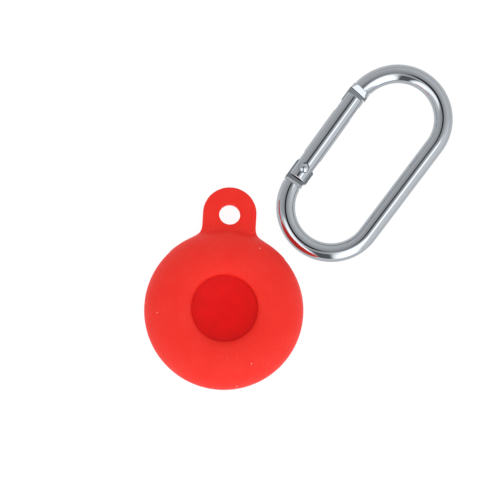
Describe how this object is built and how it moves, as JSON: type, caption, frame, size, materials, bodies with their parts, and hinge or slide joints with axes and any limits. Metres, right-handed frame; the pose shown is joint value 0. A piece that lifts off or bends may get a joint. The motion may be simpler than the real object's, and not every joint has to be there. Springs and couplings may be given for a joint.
{
  "type": "bluetooth tracker tag",
  "caption": "Coin-shaped tracker with a press button in a round silicone sleeve with a holed tab, and an oval snap carabiner beside it.",
  "frame": {"origin": "centre of the sleeve's flat back", "axes": "+Z out of the window, from the back to the front; +Y from the sleeve's centre to its tab; +X to the right, seen from the front"},
  "size_m": [0.0677, 0.0773, 0.0118],
  "materials": {
    "silicone": "matte",
    "housing_plastic": "satin",
    "button_plastic": "satin",
    "seal_rubber": "matte",
    "chassis_plastic": "satin",
    "foam": "matte",
    "switch_plastic": "satin",
    "switch_metal": "satin",
    "stem_plastic": "gloss",
    "board": "satin",
    "chip_plastic": "matte",
    "crystal_metal": "satin",
    "ceramic": "satin",
    "copper": "satin",
    "buzzer_brass": "satin",
    "piezo_ceramic": "satin",
    "contact_metal": "satin",
    "cell_steel": "brushed",
    "gasket_plastic": "satin",
    "cathode_mix": "matte",
    "separator_film": "matte",
    "lithium": "satin",
    "screw_steel": "satin",
    "cover_plastic": "satin",
    "polished_steel": "polished",
    "spring_steel": "satin"
  },
  "bodies": {
    "holder": {"silicone_sleeve": "silicone", "front_shell": "housing_plastic", "base_shell": "housing_plastic", "housing_seal": "seal_rubber", "chassis": "chassis_plastic", "board_screws": "screw_steel", "button_foam": "foam", "switch_base": "switch_plastic", "switch_dome": "switch_metal", "switch_frame": "switch_metal", "circuit_board": "board", "bluetooth_chip": "chip_plastic", "crystal": "crystal_metal", "motion_sensor": "chip_plastic", "passives": "ceramic", "antenna_trace": "copper", "buzzer_plate": "buzzer_brass", "buzzer_ceramic": "piezo_ceramic", "plate_contact": "contact_metal", "ceramic_contact": "contact_metal", "cell_can": "cell_steel", "cell_cap": "cell_steel", "cell_gasket": "gasket_plastic", "cell_cathode": "cathode_mix", "cell_separator": "separator_film", "cell_anode": "lithium", "positive_contacts": "contact_metal", "negative_contact": "contact_metal"},
    "button": {"call_button": "button_plastic"},
    "stem": {"switch_stem": "stem_plastic"},
    "cover": {"battery_cover": "cover_plastic", "cover_seal": "seal_rubber"},
    "carabiner": {"carabiner_body": "polished_steel"},
    "gate": {"gate_sleeve": "polished_steel", "hinge_rivet": "polished_steel", "gate_spring": "spring_steel"},
    "plunger": {"spring_plunger": "spring_steel"}
  },
  "joints": [
    {"name": "button_press", "type": "slide", "parent": "holder", "child": "button", "axis": [0, 0, -1], "range_m": [0, 0.00025], "stiffness_N_per_m": 3000, "springref_m": -0.00015, "deforming": ["button_foam"]},
    {"name": "switch_travel", "type": "slide", "parent": "holder", "child": "stem", "axis": [0, 0, -1], "range_m": [0, 0.00025], "deforming": ["switch_dome"]},
    {"name": "cover_twist", "type": "hinge", "parent": "holder", "child": "cover", "pos_m": [0, 0, 0.002], "axis": [0, 0, -1], "range_deg": [0, 30]},
    {"name": "carabiner_lift", "type": "slide", "parent": "holder", "child": "carabiner", "axis": [0, 0, 1], "range_m": [0, 0.06]},
    {"name": "gate_swing", "type": "hinge", "parent": "carabiner", "child": "gate", "pos_m": [0.01622, 0.03385, 0.00228], "axis": [0, 0, -1], "range_deg": [0, 30], "stiffness_Nm_per_rad": 0.04, "springref_deg": -42.97},
    {"name": "plunger_slide", "type": "slide", "parent": "gate", "child": "plunger", "axis": [0.5314, 0.8471, 0], "range_m": [0, 0.00032], "deforming": ["gate_spring"]}
  ],
  "couplings": [
    {"joint": "switch_travel", "follows": "button_press", "ratio": 1},
    {"joint": "plunger_slide", "follows": "gate_swing", "m_per_rad": 0.0006}
  ]
}
